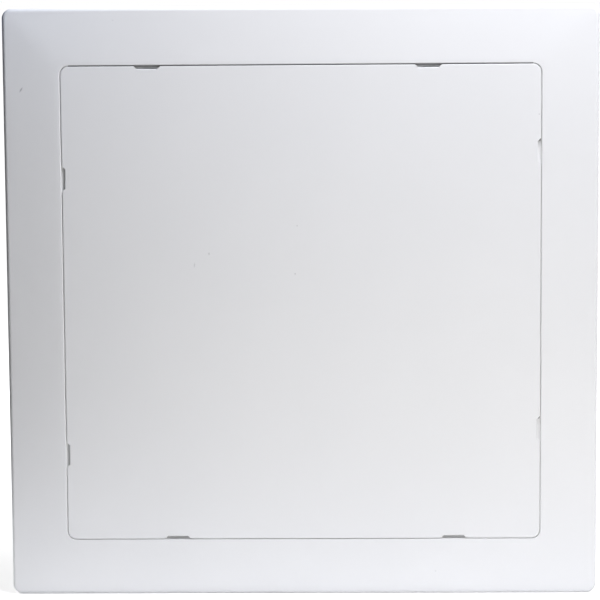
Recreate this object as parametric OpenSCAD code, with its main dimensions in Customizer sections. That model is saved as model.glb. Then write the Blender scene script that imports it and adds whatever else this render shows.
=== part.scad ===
// Square access panel for a ceiling or a wall. A flanged frame stands in the cut-out, and a door
// lies flush in the frame on a ledge, held by eight spring latches that hook behind that ledge.
// Sizes are in millimetres. Shapes are drawn lying down with the front upwards, then stood upright:
// the front faces -Y, +Z is up, and Y = 0 is the surface that the back of the flange lies on.

/* [Door] */
// Width and height of the square door
door_w = 286.8; // [240:0.2:420]
// Thickness of the door's plate
door_t = 1.8; // [1.6:0.1:3]
// Radius of the door's four corners, seen from the front
door_corner_r = 5; // [3:0.5:10]
// Rounding of the door's front edge
door_edge_r = 0.5; // [0.3:0.1:1]
// Height of the stiffening rim behind the door
rim_h = 7; // [4:0.5:9]
// Thickness of the stiffening rim
rim_t = 1.6; // [1.2:0.1:3]
// Radius of the rim's corners, on the outside
rim_corner_r = 10; // [6:1:20]
// Ribs behind the door, each way
rib_count = 3; // [1:1:6]
// Height of the ribs
rib_h = 5; // [2:0.5:8]
// Thickness of the ribs
rib_t = 1.2; // [1:0.1:2.4]

/* [Pry notches] */
// Width of a notch at the door's edge
notch_mouth = 16; // [12:0.5:24]
// Width of a notch at its bottom
notch_flat = 12; // [8:0.5:20]
// Depth of a notch into the door
notch_depth = 1.8; // [1.5:0.1:3.5]
// Chamfer along the bottom of a notch, on the front
notch_chamfer = 0.4; // [0.3:0.1:1]
// From a corner of the door to the first notch, going clockwise
notch_lead = 52; // [35:1:90]
// From the last notch of a side to the next corner, going clockwise
notch_trail = 67; // [35:1:90]

/* [Frame] */
// Width of the flange's border around the door's opening
border = 34.2; // [20:0.2:60]
// Thickness of the flange at its lip, beside the door
flange_t = 3.6; // [3.5:0.1:5]
// How far the flange's face falls from the lip to its rounded outer edge
flange_fall = 1.2; // [0.6:0.1:1.3]
// Radius of the flange's four corners, seen from the front
flange_corner_r = 6; // [4:0.5:15]
// Rounding of the flange's outer front edge
flange_edge_r = 2.2; // [1:0.1:2.3]
// Rounding of the flange's inner front edge
lip_edge_r = 0.5; // [0.3:0.1:1]
// Gap all round between the door and the frame
door_gap = 0.4; // [0.3:0.1:1.5]
// Wall of the neck that goes into the cut-out
neck_wall = 2.6; // [2:0.1:4]
// How far the neck goes in behind the flange
neck_depth = 22; // [20:1:40]
// Chamfer round the back of the neck
neck_lead_in = 1.2; // [0.5:0.1:1.8]
// Width of the ledge behind the door's edge
ledge_w = 7; // [6:0.5:12]
// Thickness of the ledge
ledge_t = 2.4; // [2:0.1:4]
// Radius of the corners of the ledge's opening
ledge_corner_r = 4; // [2:0.5:8]
// Gap between the back of the door and the ledge
seat_gap = 0.1; // [0.1:0.05:0.4]

/* [Gussets] */
// Gussets on each side of the neck
gusset_count = 3; // [1:1:3]
// Distance from one gusset to the next
gusset_spacing = 42; // [30:1:50]
// Thickness of a gusset
gusset_t = 2; // [1.4:0.1:3]
// How far a gusset runs out behind the flange
gusset_out = 4; // [2:0.5:6]
// How far a gusset runs back along the neck
gusset_back = 8; // [4:0.5:11]

/* [Screw holes] */
// Diameter of the screw holes in the neck
hole_d = 4.5; // [3.5:0.1:6]
// Distance between the two holes of a side
hole_spacing = 120; // [104:1:124]
// From the back of the neck to the holes' centres
hole_inset = 7; // [5:0.5:9]

/* [Latches] */
// Width of a latch's spring
latch_w = 12; // [8:0.5:16]
// Thickness of a latch's spring
latch_t = 1.4; // [1:0.1:1.8]
// Radius of the spring's bend, on its middle line
latch_bend_r = 2.5; // [2:0.1:3.5]
// From the door's back to the centre of the spring's bend
latch_drop = 11.2; // [9:0.1:14]
// How far a latch reaches behind the ledge
latch_reach = 1.2; // [0.8:0.1:2]
// Length of the tip that slopes in from a latch's crown
latch_tip = 3.4; // [2.5:0.1:4]
// Length of a latch's foot, along its socket
foot_l = 6; // [5:0.5:9]
// How far the foot stands out past the spring on each side
foot_wing = 2; // [1.5:0.1:3]
// Wall of the socket's rails
rail_t = 1.5; // [1.2:0.1:2.5]
// Gap between a latch and what it hooks behind
latch_gap = 0.25; // [0.2:0.05:0.4]
// Gap between the spring's leg and the edge of the ledge
leg_gap = 0.6; // [0.4:0.1:1.2]
// Sliding gap between a latch's foot and its socket
fit_gap = 0.1; // [0.05:0.05:0.2]

/* [Hidden] */
$fn = 64;

white = "#f2f3f4";
ivory = "#e6e2d3";

// How far one shape runs into another that it is part of, and how far a cut runs past a face
sink = 0.5;
past = 1;
// Thickness of the flat slabs that a sloped shape is stretched between
film = 0.01;

// Opening in the frame, which follows the door's outline
open_w = door_w + 2 * door_gap;
open_r = door_corner_r + door_gap;
flange_w = open_w + 2 * border;
flange_edge_t = flange_t - flange_fall;

// Heights above the surface that the flange lies on
door_back = flange_t - door_t;
ledge_front = door_back - seat_gap;
ledge_back = ledge_front - ledge_t;

// Notches and latches along a side, from its middle, going clockwise
spots = [notch_lead - door_w / 2, door_w / 2 - notch_trail];

// Middle line of a latch: foot, inner leg, bend, outer leg, crown and tip
ledge_half = open_w / 2 - ledge_w;
outer_leg = ledge_half - leg_gap - latch_t / 2;
inner_leg = outer_leg - 2 * latch_bend_r;
foot_end = inner_leg - foot_l;
foot_z = door_back - fit_gap - latch_t / 2;
bend_z = door_back - latch_drop;
crown = ledge_half + latch_reach - latch_t / 2;
crown_z = ledge_back + ledge_half - crown - sqrt(2) * (latch_t / 2 + latch_gap);
tip_run = latch_tip / sqrt(2);
foot_w = latch_w + 2 * foot_wing;

// The rim stands just inside the latches' feet and stops them
rim_w = 2 * (foot_end - latch_t / 2 - latch_gap);

// Stands a shape up, front towards -Y
module upright() {
    rotate([90, 0, 0]) children();
}

// Turns a shape from the top side to another side, clockwise
module at_side(side) {
    rotate(-90 * side) children();
}

module at_sides() {
    for (side = [0 : 3]) at_side(side) children();
}

module at_spots() {
    at_sides() for (spot = spots) translate([spot, 0, 0]) children();
}

// Extrudes an outline of distance outwards and height along the top side
module along_side(width) {
    rotate([90, 0, 90]) linear_extrude(width, center = true) children();
}

// Sweeps an outline round a rounded square: its x runs outwards from the corners' centres
module sweep_round(width, corner_r) {
    straight = width - 2 * corner_r;
    at_sides() translate([straight / 2, straight / 2, 0]) {
        rotate_extrude(angle = 90) children();
        rotate([90, 0, 0]) linear_extrude(straight) children();
    }
}

module rounded_square(width, corner_r) {
    straight = width - 2 * corner_r;
    square([straight, width], center = true);
    square([width, straight], center = true);
    at_sides() translate([straight / 2, straight / 2]) circle(corner_r);
}

// Outline of a rim of the given reach, with its upper outer corner rounded
module round_edge(reach, height, edge_r) {
    square([reach - edge_r, height]);
    square([reach, height - edge_r]);
    translate([reach - edge_r, height - edge_r]) circle(edge_r);
}

// Rounded square plate with its front edge rounded
module rounded_plate(width, corner_r, height, edge_r) {
    straight = width - 2 * corner_r;
    sweep_round(width, corner_r) round_edge(corner_r, height, edge_r);
    translate([-straight / 2, -straight / 2, 0]) cube([straight, straight, height]);
}

// Neck wall and front lip, rounded in front and chamfered behind
module collar_outline() {
    translate([open_r, 0]) {
        translate([neck_wall, 0]) mirror([1, 0]) round_edge(neck_wall, flange_t, lip_edge_r);
        polygon([
            [0, 0],
            [neck_wall, 0],
            [neck_wall, neck_lead_in - neck_depth],
            [neck_wall - neck_lead_in, -neck_depth],
            [0, -neck_depth]
        ]);
    }
}

// Slope from the flat lip round the door down to the flange's rounded outer edge
module flange_slope() {
    hull($fn = 32) {
        translate([0, 0, flange_edge_t - film]) linear_extrude(film)
            rounded_square(flange_w - 2 * flange_edge_r, flange_corner_r - flange_edge_r);
        translate([0, 0, flange_t - film]) linear_extrude(film)
            rounded_square(open_w + 2 * neck_wall, open_r + neck_wall);
    }
}

// Plate in front, cut out to the middle of the neck's wall
module flange() {
    difference() {
        union() {
            rounded_plate(flange_w, flange_corner_r, flange_edge_t, flange_edge_r);
            flange_slope();
        }
        translate([0, 0, -past]) linear_extrude(flange_t + 2 * past)
            rounded_square(open_w + neck_wall, open_r + neck_wall / 2);
    }
}

module ledge() {
    translate([0, 0, ledge_back]) linear_extrude(ledge_t) difference() {
        rounded_square(open_w + neck_wall, open_r + neck_wall / 2);
        rounded_square(2 * ledge_half, ledge_corner_r);
    }
}

// Triangle between a wall and a plate, with its square corner sunk into both
module gusset_outline(out, back) {
    polygon([[-sink, sink], [out, sink], [out, 0], [0, -back], [-sink, -back]]);
}

// Gussets behind the flange and behind the ledge
module gussets() {
    first = -(gusset_count - 1) / 2 * gusset_spacing;
    at_sides() for (i = [0 : gusset_count - 1]) translate([first + i * gusset_spacing, 0, 0]) {
        translate([0, open_w / 2 + neck_wall, 0]) along_side(gusset_t)
            gusset_outline(gusset_out, gusset_back);
        translate([0, open_w / 2, ledge_back]) along_side(gusset_t) mirror([1, 0])
            gusset_outline(ledge_w - past, gusset_back);
    }
}

module screw_holes() {
    at_sides() for (x = [-hole_spacing / 2, hole_spacing / 2])
        translate([x, open_w / 2 + neck_wall / 2, hole_inset - neck_depth]) rotate([90, 0, 0])
            cylinder(d = hole_d, h = neck_wall + 2 * past, center = true);
}

module frame() {
    color(white) upright() difference() {
        union() {
            flange();
            sweep_round(open_w, open_r) collar_outline();
            ledge();
            gussets();
        }
        screw_holes();
    }
}

// Trapezoid cut through the door's edge, with its bottom edge chamfered in front
module notch() {
    bottom = door_w / 2 - notch_depth;
    translate([0, 0, door_back - past]) linear_extrude(door_t + 2 * past) polygon([
        [-notch_flat / 2, bottom],
        [notch_flat / 2, bottom],
        [notch_mouth / 2, door_w / 2],
        [notch_mouth / 2, door_w / 2 + past],
        [-notch_mouth / 2, door_w / 2 + past],
        [-notch_mouth / 2, door_w / 2]
    ]);
    along_side(notch_flat) polygon([
        [bottom - notch_chamfer, flange_t],
        [bottom, flange_t - notch_chamfer],
        [bottom + sink, flange_t - notch_chamfer],
        [bottom + sink, flange_t + past],
        [bottom - notch_chamfer, flange_t + past]
    ]);
}

module rim() {
    sweep_round(rim_w, rim_corner_r) translate([rim_corner_r - rim_t, door_back - rim_h])
        square([rim_t, rim_h + sink]);
}

// Crossed ribs inside the rim, evenly spread
module ribs() {
    inside = rim_w - 2 * rim_t;
    pitch = inside / (rib_count + 1);
    for (turn = [0, 90], i = [1 : rib_count]) rotate(turn)
        translate([-inside / 2 - sink, i * pitch - inside / 2 - rib_t / 2, door_back - rib_h])
            cube([inside + 2 * sink, rib_t, rib_h + sink]);
}

// One of the two hooked rails that a latch's foot slides between
module rail() {
    near = foot_w / 2 + fit_gap;
    under = foot_z - latch_t / 2 - fit_gap;
    lip = foot_wing - 2 * fit_gap;
    translate([0, inner_leg, 0]) rotate([90, 0, 0]) linear_extrude(foot_l) polygon([
        [near, door_back + sink],
        [near + rail_t, door_back + sink],
        [near + rail_t, under - rail_t],
        [near - lip, under - rail_t],
        [near - lip, under],
        [near, under]
    ]);
}

module socket() {
    rail();
    mirror([1, 0, 0]) rail();
}

module door() {
    color(white) upright() difference() {
        union() {
            translate([0, 0, door_back])
                rounded_plate(door_w, door_corner_r, door_t, door_edge_r);
            rim();
            ribs();
            at_spots() socket();
        }
        at_spots() notch();
    }
}

// Straight stretch of the spring's outline, round at both ends
module strip(from, to) {
    step = to - from;
    translate(from) rotate(atan2(step.y, step.x)) {
        translate([0, -latch_t / 2]) square([norm(step), latch_t]);
        circle(d = latch_t);
        translate([norm(step), 0]) circle(d = latch_t);
    }
}

// Half ring that joins the two legs of the spring
module bend() {
    translate([inner_leg + latch_bend_r, bend_z]) difference() {
        circle(latch_bend_r + latch_t / 2);
        circle(latch_bend_r - latch_t / 2);
        translate([-2 * latch_bend_r, 0]) square(4 * latch_bend_r);
    }
}

module spring_outline() {
    strip([foot_end, foot_z], [inner_leg, foot_z]);
    strip([inner_leg, foot_z], [inner_leg, bend_z]);
    bend();
    strip([outer_leg, bend_z], [crown, crown_z]);
    strip([crown, crown_z], [crown - tip_run, crown_z + tip_run]);
}

module latch(side, spot) {
    color(ivory) upright() at_side(side) translate([spots[spot], 0, 0]) {
        along_side(latch_w) spring_outline();
        along_side(foot_w) translate([foot_end, foot_z - latch_t / 2])
            square([foot_l - latch_t, latch_t]);
    }
}

frame();
door();
latch(0, 0);  // latch_top_left
latch(0, 1);  // latch_top_right
latch(1, 0);  // latch_right_upper
latch(1, 1);  // latch_right_lower
latch(2, 0);  // latch_bottom_right
latch(2, 1);  // latch_bottom_left
latch(3, 0);  // latch_left_lower
latch(3, 1);  // latch_left_upper
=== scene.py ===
"""Looks of a square ceiling access panel: its moulded finishes, a white studio and the camera.

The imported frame, door and latches keep their shapes. Lengths are in metres, angles in radians. The front
of the panel faces -Y, +Z is up and +X is to the right.
"""

import logging
import math
from dataclasses import dataclass, field
from enum import Enum, IntEnum

import bpy
from mathutils import Matrix, Vector


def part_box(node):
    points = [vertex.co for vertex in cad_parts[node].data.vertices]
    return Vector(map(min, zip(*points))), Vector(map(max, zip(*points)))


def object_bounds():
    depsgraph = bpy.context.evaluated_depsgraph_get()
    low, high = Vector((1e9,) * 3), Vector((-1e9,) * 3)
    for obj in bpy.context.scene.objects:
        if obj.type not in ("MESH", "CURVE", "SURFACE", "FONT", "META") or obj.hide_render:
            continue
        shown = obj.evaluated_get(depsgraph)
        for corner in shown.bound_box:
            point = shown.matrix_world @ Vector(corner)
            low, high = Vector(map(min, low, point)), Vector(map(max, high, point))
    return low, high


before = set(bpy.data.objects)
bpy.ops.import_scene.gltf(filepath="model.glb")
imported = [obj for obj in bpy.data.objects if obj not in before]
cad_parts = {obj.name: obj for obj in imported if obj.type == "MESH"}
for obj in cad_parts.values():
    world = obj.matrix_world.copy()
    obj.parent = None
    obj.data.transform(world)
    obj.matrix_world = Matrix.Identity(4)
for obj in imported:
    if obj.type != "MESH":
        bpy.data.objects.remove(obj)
cad_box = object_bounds()

MM = 0.001
# The panel stands on the floor, and two glowing cards lie on it
FLOOR_HEIGHT = cad_box[0].z
CARD_HEIGHT = FLOOR_HEIGHT + 0.5 * MM

log = logging.getLogger("access_panel")

Colour = tuple[float, float, float, float]
Triple = tuple[float, float, float]
Feed = float | tuple[float, ...] | bpy.types.NodeSocket
Sockets = dict[str, bpy.types.NodeSocket]


class Socket(Enum):
    """Kinds of socket on an effect's node group."""

    VALUE = "NodeSocketFloat"
    VECTOR = "NodeSocketVector"


class MixSocket(IntEnum):
    """Numbers of the sockets on a Mix node that blends colours."""

    SHARE = 0
    FIRST = 6
    SECOND = 7
    RESULT = 2


class Mark(Enum):
    """What a small mark on the door or the frame is: a real blemish, or painted shade."""

    SINK = "sink mark"
    SCUFF = "scuff"
    # Dark colour painted where the door's gap and notches lie in shadow: painted shade
    GRIME = "grime"


MARK_COLOURS: dict[Mark, Colour] = {
    Mark.SCUFF: (0.16, 0.16, 0.17, 1.0),
    # Colour of the painted shade in the door's gap and notches
    Mark.GRIME: (0.1, 0.1, 0.105, 1.0),
}


class Edge(Enum):
    """An edge of the door, by how far it faces to the right and up."""

    TOP = (0, 1)
    RIGHT = (1, 0)
    BOTTOM = (0, -1)
    LEFT = (-1, 0)

    @property
    def level(self) -> bool:
        """Tells whether the edge runs from left to right."""
        return self in (Edge.TOP, Edge.BOTTOM)


def middle_of(node: str) -> Vector:
    """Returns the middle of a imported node's box."""
    low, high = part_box(node)
    return (low + high) / 2


@dataclass
class Bench:
    """Adds nodes to one tree and wires them up.

    Attributes:
        tree: Node tree of a material, a world or a node group.
    """

    tree: bpy.types.NodeTree

    def add(
        self, kind: str, feeds: dict[str | int, Feed] | None = None, **settings: object
    ) -> bpy.types.Node:
        """Adds a node, then sets or links its inputs.

        Args:
            kind: Type name of the node.
            feeds: Values or sockets for its inputs, by name or number.
            **settings: Properties of the node.

        Returns:
            The new node.
        """
        node = self.tree.nodes.new(kind)
        for name, setting in settings.items():
            setattr(node, name, setting)
        for key, feed in (feeds or {}).items():
            if isinstance(feed, bpy.types.NodeSocket):
                self.tree.links.new(feed, node.inputs[key])
            else:
                node.inputs[key].default_value = feed
        return node

    def math(self, operation: str, *terms: Feed) -> bpy.types.NodeSocket:
        """Returns the result of one operation on values."""
        return self.add("ShaderNodeMath", dict(enumerate(terms)), operation=operation).outputs[0]

    def vector(self, operation: str, *terms: Feed) -> bpy.types.Node:
        """Returns the node of one operation on vectors."""
        return self.add("ShaderNodeVectorMath", dict(enumerate(terms)), operation=operation)

    def noise(self, place: Feed, scale: Feed, detail: float) -> bpy.types.NodeSocket:
        """Returns a noise of so many waves to the metre, with so many octaves of finer noise."""
        feeds = {"Vector": place, "Scale": scale, "Detail": detail}
        return self.add("ShaderNodeTexNoise", feeds).outputs["Fac"]

    def ramp(self, value: Feed, low: Feed, high: Feed) -> bpy.types.NodeSocket:
        """Returns a smooth step from 0 at low to 1 at high."""
        feeds = {"Value": value, "From Min": low, "From Max": high}
        return self.add("ShaderNodeMapRange", feeds, interpolation_type="SMOOTHSTEP").outputs[0]

    def blend(self, share: Feed, first: Feed, second: Feed) -> bpy.types.NodeSocket:
        """Returns a colour between two others, first at share 0 and second at share 1 and over."""
        feeds = {MixSocket.SHARE: share, MixSocket.FIRST: first, MixSocket.SECOND: second}
        return self.add("ShaderNodeMix", feeds, data_type="RGBA").outputs[MixSocket.RESULT]

    def group(self, effect: "Effect", **feeds: Feed) -> bpy.types.Node:
        """Returns an effect's group, placed in this tree with its own values."""
        return self.add("ShaderNodeGroup", feeds, node_tree=effect.tree())


def blank_material(name: str) -> tuple[bpy.types.Material, Bench]:
    """Makes a material that has no nodes yet.

    Args:
        name: Name of the material.

    Returns:
        The material, and the bench of its tree.
    """
    made = bpy.data.materials.new(name)
    made.use_nodes = True
    made.node_tree.nodes.clear()
    return made, Bench(made.node_tree)


def flat_sheet(name: str, corners: list[Triple], material: bpy.types.Material) -> bpy.types.Object:
    """Makes a flat sheet for the studio.

    Args:
        name: Name of the sheet.
        corners: Its corners, in order round its edge.
        material: What it is painted with.

    Returns:
        The sheet, which is in the scene.
    """
    mesh = bpy.data.meshes.new(name)
    mesh.from_pydata(corners, [], [tuple(range(len(corners)))])
    mesh.materials.append(material)
    sheet = bpy.data.objects.new(name, mesh)
    bpy.context.scene.collection.objects.link(sheet)
    return sheet


class Effect:
    """A surface effect that several finishes use, kept as one shader node group.

    Attributes:
        name: Name of the group.
        inputs: Kinds of its inputs, by name.
        outputs: Kinds of its outputs, by name.
    """

    name: str = "effect"
    inputs: dict[str, Socket] = {}
    outputs: dict[str, Socket] = {}

    def tree(self) -> bpy.types.NodeTree:
        """Returns the effect's node group, which is built the first time.

        Returns:
            The group's tree.
        """
        made = bpy.data.node_groups.get(self.name)
        if made:
            return made
        made = bpy.data.node_groups.new(self.name, "ShaderNodeTree")
        for name, kind in self.inputs.items():
            made.interface.new_socket(name=name, in_out="INPUT", socket_type=kind.value)
        for name, kind in self.outputs.items():
            made.interface.new_socket(name=name, in_out="OUTPUT", socket_type=kind.value)
        bench = Bench(made)
        source = bench.add("NodeGroupInput")
        results = self.wire(bench, {name: source.outputs[name] for name in self.inputs})
        bench.add("NodeGroupOutput", results)
        return made

    def wire(self, bench: Bench, given: Sockets) -> Sockets:
        """Wires the effect's nodes.

        Args:
            bench: Bench of the group's tree.
            given: The group's inputs by name.

        Returns:
            A socket for each of the group's outputs, by name.
        """
        raise NotImplementedError


class MouldGrain(Effect):
    """Spark-eroded grain and slow waves that a mould leaves, and the drift in tone that goes with them.

    Attributes:
        fine_detail: Octaves of finer noise in the grain.
        slow_scale: Slow waves to the metre.
        slow_detail: Octaves of finer noise in the slow waves.
    """

    name = "mould_grain"
    inputs = {
        "Place": Socket.VECTOR,
        "Pitch": Socket.VALUE,
        "Grain": Socket.VALUE,
        "Wave": Socket.VALUE,
    }
    outputs = {"Height": Socket.VALUE, "Tone": Socket.VALUE}
    fine_detail: float = 1.0
    slow_scale: float = 14.0
    slow_detail: float = 2.0

    def wire(self, bench: Bench, given: Sockets) -> Sockets:
        """Wires the grain and the waves.

        Args:
            bench: Bench of the group's tree.
            given: The group's inputs by name.

        Returns:
            The height of the surface and its tone.
        """
        fine_scale = bench.math("DIVIDE", 1.0, given["Pitch"])
        fine = bench.noise(given["Place"], fine_scale, self.fine_detail)
        slow = bench.noise(given["Place"], self.slow_scale, self.slow_detail)
        grain = bench.math("MULTIPLY", fine, given["Grain"])
        return {"Height": bench.math("MULTIPLY_ADD", slow, given["Wave"], grain), "Tone": slow}


class EdgeRub(Effect):
    """Edges that handling has rubbed smooth.

    Attributes:
        samples: Number of rays that look for an edge.
        flat: One less the cosine of the turn at which the rub starts.
        sharp: The same for the turn at which it is full.
    """

    name = "edge_rub"
    inputs = {"Reach": Socket.VALUE}
    outputs = {"Mask": Socket.VALUE}
    samples: int = 4
    flat: float = 0.01
    sharp: float = 0.25

    def wire(self, bench: Bench, given: Sockets) -> Sockets:
        """Wires the mask of the edges.

        Args:
            bench: Bench of the group's tree.
            given: The group's inputs by name.

        Returns:
            How far each point is rubbed, from 0 to 1.
        """
        rounded = bench.add("ShaderNodeBevel", {"Radius": given["Reach"]}, samples=self.samples)
        face = bench.add("ShaderNodeNewGeometry")
        alike = bench.vector("DOT_PRODUCT", rounded.outputs["Normal"], face.outputs["Normal"])
        turned = bench.math("SUBTRACT", 1.0, alike.outputs["Value"])
        return {"Mask": bench.ramp(turned, self.flat, self.sharp)}


class CornerLightAndShade(Effect):
    """Colour laid in corners and gaps by their ambient occlusion, where shade falls: painted light where a
    material's colour is paler, painted shade where it is darker.

    Attributes:
        samples: Number of rays that look for a face nearby.
        patch_scale: Patches of the corner colour to the metre.
        patch_detail: Octaves of finer noise in the patches.
        open_corner: Share of open space round a point at which the corner colour starts.
        deep_corner: Share at which it is thickest.
    """

    name = "corner_light_and_shade"
    inputs = {"Place": Socket.VECTOR, "Reach": Socket.VALUE}
    outputs = {"Mask": Socket.VALUE}
    samples: int = 6
    patch_scale: float = 220.0
    patch_detail: float = 2.0
    open_corner: float = 0.75
    deep_corner: float = 0.25

    def wire(self, bench: Bench, given: Sockets) -> Sockets:
        """Wires the mask of the corners.

        Args:
            bench: Bench of the group's tree.
            given: The group's inputs by name.

        Returns:
            How much of the corner colour each point takes, from 0 to 1.
        """
        feeds = {"Distance": given["Reach"]}
        # Ambient occlusion puts the colour where shade falls
        light = bench.add("ShaderNodeAmbientOcclusion", feeds, samples=self.samples)
        deep = bench.ramp(light.outputs["AO"], self.open_corner, self.deep_corner)
        patch = bench.noise(given["Place"], self.patch_scale, self.patch_detail)
        return {"Mask": bench.math("MULTIPLY", deep, patch)}


class SoftSpot(Effect):
    """One soft oval spot, or a line with oval ends, for a sink mark, a scuff or painted shade.

    Core is the share of its reach over which it is even, and Run is half the length of a line's straight
    part, as a multiple of its half width.

    Attributes:
        outline: Distance from the middle at which the spot ends, as a multiple of its half sizes.
    """

    name = "soft_spot"
    inputs = {
        "Place": Socket.VECTOR,
        "Centre": Socket.VECTOR,
        "Turn": Socket.VECTOR,
        "Half": Socket.VECTOR,
        "Core": Socket.VALUE,
        "Run": Socket.VALUE,
    }
    outputs = {"Mask": Socket.VALUE}
    outline: float = 1.0

    def wire(self, bench: Bench, given: Sockets) -> Sockets:
        """Wires the spot.

        Args:
            bench: Bench of the group's tree.
            given: The group's inputs by name.

        Returns:
            The spot's mask, 1 in its core.
        """
        feeds = {
            "Vector": given["Place"],
            "Location": given["Centre"],
            "Rotation": given["Turn"],
            "Scale": given["Half"],
        }
        mapped = bench.add("ShaderNodeMapping", feeds, vector_type="TEXTURE")
        local = bench.add("ShaderNodeSeparateXYZ", {0: mapped.outputs["Vector"]})
        past = bench.math("SUBTRACT", bench.math("ABSOLUTE", local.outputs["X"]), given["Run"])
        feeds = {
            "X": bench.math("MAXIMUM", past, 0.0),
            "Y": local.outputs["Y"],
            "Z": local.outputs["Z"],
        }
        away = bench.vector("LENGTH", bench.add("ShaderNodeCombineXYZ", feeds).outputs[0])
        return {"Mask": bench.ramp(away.outputs["Value"], self.outline, given["Core"])}


@dataclass(frozen=True)
class Blemish:
    """One small mark on a front face, or behind it.

    Attributes:
        kind: What the mark is.
        x: Place to the right of the panel's middle.
        z: Place above the panel's middle.
        half_width: Half its width before it is turned.
        half_height: Half its height before it is turned.
        strength: Share of the mark's colour, or depth of the sink mark.
        turn: Angle that it is turned by, about the Y axis.
        half_depth: How far in front of its middle and behind it the mark shows.
        sunk: How far its middle lies behind the frontmost face.
        core: Share of its reach over which it is even.
        run: Half the length of the straight part of a mark that is a line.
    """

    kind: Mark
    x: float
    z: float
    half_width: float
    half_height: float
    strength: float
    turn: float = 0.0
    half_depth: float = 1.0 * MM
    sunk: float = 0.0
    core: float = 0.0
    run: float = 0.0

    def mask(self, bench: Bench, place: bpy.types.NodeSocket, front: float) -> bpy.types.NodeSocket:
        """Adds the mark's soft spot to a material.

        Args:
            bench: Bench of the material's tree.
            place: Point on the surface.
            front: Y of the frontmost face.

        Returns:
            The mark's mask, scaled by its strength.
        """
        spot = bench.group(
            SoftSpot(),
            Place=place,
            Centre=(self.x, front + self.sunk, self.z),
            Turn=(0.0, self.turn, 0.0),
            Half=(self.half_width, self.half_depth, self.half_height),
            Core=self.core,
            Run=self.run / self.half_width,
        )
        return bench.math("MULTIPLY", spot.outputs["Mask"], self.strength)


@dataclass(frozen=True)
class MouldedPlastic:
    """A moulded plastic with a fine grain, a colour painted into its corners in place of their light and
    shade, and rubbed edges.

    Attributes:
        name: Name of the material.
        pale: Colour where the tone drifts up.
        deep: Colour where the tone drifts down.
        painted_corners: Colour painted into the corners by their ambient occlusion: painted light where
            paler than the plastic, painted shade where darker.
        painted_corners_weight: Weight of that colour; over 1, it hides the plastic in the deepest corners.
        roughness: Roughness of the plain face.
        patchiness: How much the roughness drifts over the face.
        grain_pitch: Distance from one grain to the next.
        grain_depth: Height of the grain.
        wave_depth: Height of the slow waves.
        rub_reach: How far from an edge it is rubbed.
        polish: How much smoother a rubbed edge is.
        ior: Index of refraction.
        waxiness: Weight of the light that goes under the surface.
        scatter: How far that light goes.
        painted_corners_reach: How near another face makes a corner that takes the painted colour.
    """

    name: str
    pale: Colour
    deep: Colour
    painted_corners: Colour
    painted_corners_weight: float
    roughness: float
    patchiness: float
    grain_pitch: float
    grain_depth: float
    wave_depth: float
    rub_reach: float
    polish: float
    ior: float
    waxiness: float = 0.0
    scatter: float = 0.6 * MM
    painted_corners_reach: float = 2.5 * MM

    def material(self, marks: list[Blemish], front: float) -> bpy.types.Material:
        """Builds the material.

        Args:
            marks: Small marks on the front face or behind it.
            front: Y of that face.

        Returns:
            The new material.
        """
        made, bench = blank_material(self.name)
        place = bench.add("ShaderNodeTexCoord").outputs["Object"]
        grain = bench.group(
            MouldGrain(), Place=place, Pitch=self.grain_pitch, Grain=self.grain_depth, Wave=self.wave_depth
        )
        rub = bench.group(EdgeRub(), Reach=self.rub_reach).outputs["Mask"]
        painted_corners = bench.group(CornerLightAndShade(), Place=place, Reach=self.painted_corners_reach).outputs["Mask"]

        colour = bench.blend(grain.outputs["Tone"], self.deep, self.pale)
        # Corners take the painted colour by their ambient occlusion: painted light on the white plastic,
        # painted shade on the latches
        colour = bench.blend(bench.math("MULTIPLY", painted_corners, self.painted_corners_weight), colour, self.painted_corners)
        height = grain.outputs["Height"]
        for mark in marks:
            mask = mark.mask(bench, place, front)
            if mark.kind is Mark.SINK:
                height = bench.math("SUBTRACT", height, mask)
            else:
                # Scuffs are real marks; the other colour marks are painted shade in the door's gap and
                # notches
                colour = bench.blend(mask, colour, MARK_COLOURS[mark.kind])

        rough = bench.math("MULTIPLY_ADD", grain.outputs["Tone"], self.patchiness, self.roughness)
        rough = bench.math("MULTIPLY_ADD", rub, -self.polish, rough)
        # Heights are in metres, so the bump takes them as they are
        bump = bench.add("ShaderNodeBump", {"Height": height, "Distance": 1.0, "Strength": 1.0})
        feeds = {
            "Base Color": colour,
            "Roughness": rough,
            "Normal": bump.outputs["Normal"],
            "IOR": self.ior,
            "Subsurface Weight": self.waxiness,
            "Subsurface Scale": self.scatter,
        }
        skin = bench.add("ShaderNodeBsdfPrincipled", feeds)
        bench.add("ShaderNodeOutputMaterial", {"Surface": skin.outputs["BSDF"]})
        return made


WHITE_ABS = MouldedPlastic(
    name="white_abs_satin",
    pale=(0.875, 0.878, 0.885, 1.0),
    deep=(0.845, 0.85, 0.86, 1.0),
    # Corners paler than the plastic: painted light
    painted_corners=(0.97, 0.97, 0.965, 1.0),
    painted_corners_weight=1.4,
    roughness=0.40,
    patchiness=0.06,
    grain_pitch=0.35 * MM,
    grain_depth=0.004 * MM,
    wave_depth=0.05 * MM,
    rub_reach=0.4 * MM,
    polish=0.12,
    ior=1.53,
)

NATURAL_ACETAL = MouldedPlastic(
    name="natural_acetal",
    pale=(0.84, 0.81, 0.71, 1.0),
    deep=(0.76, 0.73, 0.63, 1.0),
    # Corners darker than the plastic: painted shade
    painted_corners=(0.36, 0.34, 0.31, 1.0),
    painted_corners_weight=0.4,
    roughness=0.33,
    patchiness=0.10,
    grain_pitch=0.25 * MM,
    grain_depth=0.003 * MM,
    wave_depth=0.03 * MM,
    rub_reach=0.3 * MM,
    polish=0.10,
    ior=1.48,
    waxiness=0.25,
)


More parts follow.
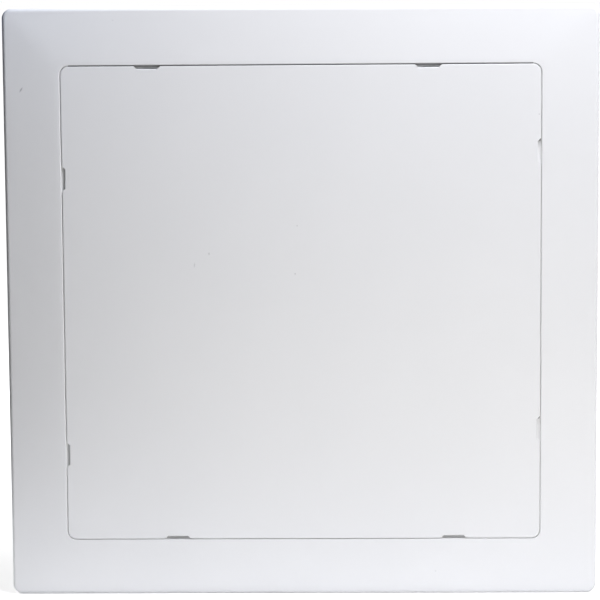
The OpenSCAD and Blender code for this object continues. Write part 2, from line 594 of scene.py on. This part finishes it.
@dataclass(frozen=True)
class PaintedShadeLine:
    """Line of painted shade along one edge of the door, where its gap or notch lies in shadow.

    Attributes:
        share: Share of the painted shade's colour.
        inset: Distance from the door's edge, inwards, to the middle of the painted shade.
        reach: Half its width.
        run: Half the length of its straight part.
        rise: How far up the gap's walls it reaches.
        shift: Distance from the middle of the notch or edge, to the right or up, to its own middle.
    """

    share: float
    inset: float
    reach: float
    run: float
    rise: float = 1.9 * MM
    shift: float = 0.0


@dataclass(frozen=True)
class GapPaintedShade:
    """Painted shade in the door's pry notches, and in the gap above the door, where their shadows fall.

    Attributes:
        seat: Depth of the gap behind the face.
        core: Share of its reach over which the painted shade is even.
        notches: Painted shade in each notch, by the edge that the notch is in.
        seam: Painted shade in the gap above the door, between its round corners.
    """

    seat: float = 1.9 * MM
    core: float = 0.6
    # Painted shade in each notch, dark where the lip or the door's edge casts shadow
    notches: dict[Edge, PaintedShadeLine] = field(
        default_factory=lambda: {
            Edge.TOP: PaintedShadeLine(share=0.08, inset=0.9 * MM, reach=2.6 * MM, run=6.5 * MM),
            Edge.RIGHT: PaintedShadeLine(share=0.8, inset=1.0 * MM, reach=1.3 * MM, run=0.0, shift=7.0 * MM),
            Edge.BOTTOM: PaintedShadeLine(share=0.55, inset=0.8 * MM, reach=1.0 * MM, run=6.5 * MM),
            Edge.LEFT: PaintedShadeLine(share=0.44, inset=1.3 * MM, reach=1.0 * MM, run=6.5 * MM),
        }
    )
    # Painted shade in the gap above the door, under the lip's shadow
    seam: PaintedShadeLine = PaintedShadeLine(share=0.85, inset=-0.5 * MM, reach=1.1 * MM, run=138.0 * MM, rise=2.5 * MM)

    def along(self, edge: Edge, line: PaintedShadeLine, middle: float) -> Blemish:
        """Lays painted shade along an edge of the door.

        Args:
            edge: The edge.
            line: The line of painted shade.
            middle: Place along the edge, to the right or up, of the notch or edge that it is in.

        Returns:
            The painted shade.
        """
        right, up = edge.value
        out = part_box("door")[1].x - line.inset
        place = middle + line.shift
        return Blemish(
            kind=Mark.GRIME,
            x=place if edge.level else right * out,
            z=up * out if edge.level else place,
            half_width=line.reach,
            half_height=line.reach,
            strength=line.share,
            turn=0.0 if edge.level else math.pi / 2,
            half_depth=line.rise,
            sunk=self.seat,
            core=self.core,
            run=line.run,
        )

    def marks(self, latches: list[str]) -> list[Blemish]:
        """Puts painted shade in the gap above the door and in its notches.

        Args:
            latches: Names of the latches' nodes, which say their edges; a notch is in front of each.

        Returns:
            The marks, which show on the frame and on the door.
        """
        grime = [self.along(Edge.TOP, self.seam, 0.0)]
        for name in latches:
            side = name.split("_")[1]
            edge = Edge[side.upper()]
            middle = middle_of(name)
            grime.append(self.along(edge, self.notches[edge], middle.x if edge.level else middle.z))
        return grime


@dataclass
class Moulding:
    """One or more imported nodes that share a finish.

    Attributes:
        nodes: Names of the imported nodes.
        finish: The plastic that they are moulded in.
        marks: Small marks on their front face or behind it.
    """

    nodes: list[str]
    finish: MouldedPlastic
    marks: list[Blemish] = field(default_factory=list)

    def front(self) -> float:
        """Returns the Y of the frontmost face."""
        return min(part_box(name)[0].y for name in self.nodes)

    def dress(self) -> None:
        """Gives the nodes their finish."""
        material = self.finish.material(self.marks, self.front())
        for name in self.nodes:
            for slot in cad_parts[name].material_slots:
                slot.material = material
            log.info("%s: %s", name, material.name)


def scuff(
    x: float, z: float, half_width: float, half_height: float, strength: float, **rest: float
) -> Blemish:
    """Makes a small scuff.

    Args:
        x: Place to the right of the panel's middle.
        z: Place above the panel's middle.
        half_width: Half its width before it is turned.
        half_height: Half its height before it is turned.
        strength: Share of the scuff's colour.
        **rest: Other values of the mark.

    Returns:
        The scuff.
    """
    return Blemish(Mark.SCUFF, x, z, half_width, half_height, strength, **rest)


@dataclass
class FrameMoulding(Moulding):
    """Flange, neck and ledge, moulded in one piece."""

    nodes: list[str] = field(default_factory=lambda: ["frame"])
    finish: MouldedPlastic = WHITE_ABS
    marks: list[Blemish] = field(
        default_factory=lambda: [
            scuff(-167.0 * MM, 129.8 * MM, 0.75 * MM, 2.4 * MM, strength=0.6, turn=0.55, sunk=0.9 * MM),
            scuff(80.3 * MM, -164.0 * MM, 0.8 * MM, 0.8 * MM, strength=0.18, sunk=0.7 * MM),
            scuff(-111.5 * MM, 170.7 * MM, 0.8 * MM, 0.6 * MM, strength=0.15, sunk=0.9 * MM),
        ]
    )


@dataclass
class DoorMoulding(Moulding):
    """Square door with its pry notches, rim, ribs and sockets.

    Attributes:
        sink_half: Half the width of a sink mark.
        sink_depth: Depth of a sink mark.
    """

    nodes: list[str] = field(default_factory=lambda: ["door"])
    finish: MouldedPlastic = WHITE_ABS
    marks: list[Blemish] = field(
        default_factory=lambda: [
            scuff(-2.5 * MM, 47.5 * MM, 0.7 * MM, 0.7 * MM, strength=0.3),
            scuff(-3.9 * MM, 18.5 * MM, 0.7 * MM, 0.7 * MM, strength=0.42),
            scuff(-64.4 * MM, 24.1 * MM, 0.7 * MM, 2.2 * MM, strength=0.25, turn=0.1),
            scuff(-55.6 * MM, 30.9 * MM, 0.7 * MM, 1.2 * MM, strength=0.36),
            scuff(142.2 * MM, 113.4 * MM, 0.8 * MM, 0.6 * MM, strength=0.3, turn=0.3),
        ]
    )
    sink_half: float = 9.0 * MM
    sink_depth: float = 0.05 * MM

    def add_sink_marks(self, latches: list[str]) -> None:
        """Puts a sink mark in front of each latch's socket.

        Args:
            latches: Names of the latches' nodes.
        """
        for name in latches:
            middle = middle_of(name)
            sink = Blemish(
                kind=Mark.SINK,
                x=middle.x,
                z=middle.z,
                half_width=self.sink_half,
                half_height=self.sink_half,
                strength=self.sink_depth,
            )
            self.marks.append(sink)


@dataclass
class LatchSet(Moulding):
    """Eight spring latches behind the door's notches."""

    nodes: list[str] = field(
        default_factory=lambda: sorted(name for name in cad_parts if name.startswith("latch_"))
    )
    finish: MouldedPlastic = NATURAL_ACETAL


@dataclass(frozen=True)
class Softbox:
    """One soft lamp.

    Attributes:
        name: Name of the lamp.
        place: Where it stands.
        aim: Point that it is turned to.
        width: Width of its face.
        height: Height of its face.
        power: Power in watts.
        colour: Colour of its light.
    """

    name: str
    place: Triple
    aim: Triple
    width: float
    height: float
    power: float
    colour: Triple = (1.0, 1.0, 1.0)

    def build(self) -> bpy.types.Object:
        """Hangs the lamp, which the camera itself doesn't see.

        Returns:
            The lamp.
        """
        data = bpy.data.lights.new(self.name, "AREA")
        data.shape = "RECTANGLE"
        data.size = self.width
        data.size_y = self.height
        data.energy = self.power
        data.color = self.colour
        lamp = bpy.data.objects.new(self.name, data)
        lamp.location = self.place
        lamp.rotation_euler = (Vector(self.aim) - Vector(self.place)).to_track_quat("-Z", "Y").to_euler()
        lamp.visible_camera = False
        bpy.context.scene.collection.objects.link(lamp)
        return lamp


@dataclass(frozen=True)
class DarkCard:
    """Upright dark card at the panel's left, which takes stray light off that edge and casts no shadow.

    Attributes:
        x: Place of the card.
        front: Y of its front edge.
        back: Y of its back edge.
        low: Height of its bottom edge.
        top: Height of its top edge.
        colour: Colour of the card.
    """

    x: float = -0.24
    front: float = -0.25
    back: float = 0.3
    low: float = -0.14
    top: float = 0.35
    colour: Colour = (0.02, 0.02, 0.02, 1.0)

    def build(self) -> None:
        """Hangs the card, unseen by the camera."""
        material, bench = blank_material("dark_card")
        paint = bench.add("ShaderNodeBsdfDiffuse", {"Color": self.colour})
        bench.add("ShaderNodeOutputMaterial", {"Surface": paint.outputs[0]})
        corners = [
            (self.x, self.front, self.low),
            (self.x, self.back, self.low),
            (self.x, self.back, self.top),
            (self.x, self.front, self.top),
        ]
        card = flat_sheet("dark_card", corners, material)
        card.visible_camera = False
        card.visible_shadow = False


@dataclass
class Studio:
    """White floor, even surround, dark card and soft lamps.

    Attributes:
        half_width: Half the width of the floor.
        floor_colour: Colour of the floor.
        near_lift: Light that the floor beside the panel gives off to the camera, besides what it reflects.
        far_lift: The same far from the panel.
        near_reach: Distance from the panel's middle at which the lift starts to rise.
        far_reach: Distance at which it has risen.
        surround: Brightness of the surround as it lights the panel.
        white: Colour of the surround.
        card: The dark card.
        lamps: The soft lamps.
    """

    half_width: float = 12.0
    floor_colour: Colour = (0.9, 0.9, 0.9, 1.0)
    near_lift: float = 0.6
    far_lift: float = 1.0
    near_reach: float = 0.25
    far_reach: float = 0.8
    surround: float = 0.05
    white: Colour = (1.0, 1.0, 1.0, 1.0)
    card: DarkCard = DarkCard()
    lamps: tuple[Softbox, ...] = (
        Softbox(
            name="key",
            place=(0.26, -0.25, 0.7),
            aim=(0.1, 0.0, 0.1),
            width=0.4,
            height=0.3,
            power=7.0,
            colour=(0.93, 0.94, 1.0),
        ),
        Softbox(
            name="top_strip",
            place=(-0.05, -0.1, 0.35),
            aim=(-0.05, 0.0, 0.15),
            width=0.5,
            height=0.1,
            power=0.028,
            colour=(0.75, 0.82, 1.0),
        ),
        Softbox(
            name="top_left",
            place=(-0.19, -0.06, 0.24),
            aim=(-0.16, 0.0, 0.15),
            width=0.08,
            height=0.05,
            power=0.008,
            colour=(0.25, 0.5, 1.0),
        ),
        Softbox(
            name="floor_card",
            place=(0.04, -0.0545, CARD_HEIGHT),
            aim=(0.04, -0.0545, 1.0),
            width=0.9,
            height=0.1,
            power=0.15,
        ),
        Softbox(
            name="front_card",
            place=(0.15, -0.3, CARD_HEIGHT),
            aim=(0.15, -0.3, 1.0),
            width=0.6,
            height=0.3,
            power=0.63,
            colour=(1.0, 0.95, 0.81),
        ),
        Softbox(
            name="low_right",
            place=(0.3, -0.2, -0.16),
            aim=(0.1, 0.0, 0.0),
            width=0.3,
            height=0.05,
            power=0.05,
            colour=(1.0, 0.96, 0.91),
        ),
        Softbox(
            name="back_high",
            place=(-0.05, 0.9, 0.6),
            aim=(0.0, 0.0, 0.0),
            width=0.5,
            height=0.5,
            power=4.5,
        ),
        Softbox(
            name="back_right",
            place=(0.7, 0.8, 0.1),
            aim=(0.0, 0.0, 0.0),
            width=0.5,
            height=0.5,
            power=2.0,
        ),
    )

    @staticmethod
    def shown(bench: Bench) -> bpy.types.NodeSocket:
        """Finds the rays that show the background itself: straight, mirrored or through glass.

        Args:
            bench: Bench of the background's tree.

        Returns:
            1 for those rays, and 0 for those that only carry light.
        """
        path = bench.add("ShaderNodeLightPath")
        seen = bench.math("MAXIMUM", path.outputs["Is Camera Ray"], path.outputs["Is Glossy Ray"])
        return bench.math("MAXIMUM", seen, path.outputs["Is Transmission Ray"])

    def build_floor(self) -> None:
        """Lays the white floor under the panel."""
        material, bench = blank_material("floor_white")
        spot = bench.add("ShaderNodeNewGeometry").outputs["Position"]
        away = bench.vector("DISTANCE", spot, (0.0, 0.0, FLOOR_HEIGHT)).outputs["Value"]
        far = bench.ramp(away, self.near_reach, self.far_reach)
        lift = bench.math("MULTIPLY_ADD", far, self.far_lift - self.near_lift, self.near_lift)
        strength = bench.math("MULTIPLY", self.shown(bench), lift)
        glow = bench.add("ShaderNodeEmission", {"Strength": strength})
        paint = bench.add("ShaderNodeBsdfDiffuse", {"Color": self.floor_colour})
        both = bench.add("ShaderNodeAddShader", {0: glow.outputs[0], 1: paint.outputs[0]})
        bench.add("ShaderNodeOutputMaterial", {"Surface": both.outputs[0]})
        reach = self.half_width
        corners = [
            (-reach, -reach, FLOOR_HEIGHT),
            (reach, -reach, FLOOR_HEIGHT),
            (reach, reach, FLOOR_HEIGHT),
            (-reach, reach, FLOOR_HEIGHT),
        ]
        floor = flat_sheet("floor", corners, material)
        log.info("floor at %.3f m", FLOOR_HEIGHT)

    def build_surround(self) -> None:
        """Sets the world: white where it shows, dimmer as it lights the panel."""
        world = bpy.data.worlds.new("surround")
        world.use_nodes = True
        world.node_tree.nodes.clear()
        bench = Bench(world.node_tree)
        span = bench.math("MULTIPLY", self.shown(bench), 1.0 - self.surround)
        strength = bench.math("ADD", span, self.surround)
        sky = bench.add("ShaderNodeBackground", {"Color": self.white, "Strength": strength})
        bench.add("ShaderNodeOutputWorld", {"Surface": sky.outputs[0]})
        bpy.context.scene.world = world

    def build(self) -> None:
        """Builds the floor, the surround, the dark card and the lamps."""
        self.build_floor()
        self.build_surround()
        self.card.build()
        for lamp in self.lamps:
            log.info("lamp: %s", lamp.build().name)


@dataclass(frozen=True)
class Viewpoint:
    """Camera at the photograph's viewing angle.

    Attributes:
        place: Where the lens is.
        pan: Angle to the right of straight on.
        tilt: Angle above the horizon.
        roll: Turn about the line of sight.
        focal: Focal length as a multiple of the image's width.
    """

    place: Triple = (0.0284, -1.4493, 0.1694)
    pan: float = -0.0204
    tilt: float = -0.1148
    roll: float = -0.0072
    focal: float = 4.0305

    def build(self) -> None:
        """Makes the camera and gives it to the scene."""
        data = bpy.data.cameras.new("camera")
        data.lens = self.focal * data.sensor_width
        camera = bpy.data.objects.new("camera", data)
        turn = Matrix.Rotation(-self.pan, 4, "Z") @ Matrix.Rotation(math.pi / 2 + self.tilt, 4, "X")
        camera.matrix_world = Matrix.Translation(self.place) @ turn @ Matrix.Rotation(self.roll, 4, "Z")
        bpy.context.scene.collection.objects.link(camera)
        bpy.context.scene.camera = camera


def main() -> None:
    """Builds the camera and the studio, and dresses the panel."""
    logging.basicConfig(level=logging.INFO, format="%(name)s %(message)s")
    bpy.context.scene.view_settings.view_transform = "Standard"
    Viewpoint().build()
    Studio().build()
    latches = LatchSet()
    panel_frame = FrameMoulding()
    door = DoorMoulding()
    door.add_sink_marks(latches.nodes)
    # Painted shade in the door's gap and notches goes on the frame and on the door
    grime = GapPaintedShade().marks(latches.nodes)
    for moulding in (panel_frame, door):
        moulding.marks.extend(grime)
    for moulding in (panel_frame, door, latches):
        moulding.dress()


if __name__ == "__main__":
    main()
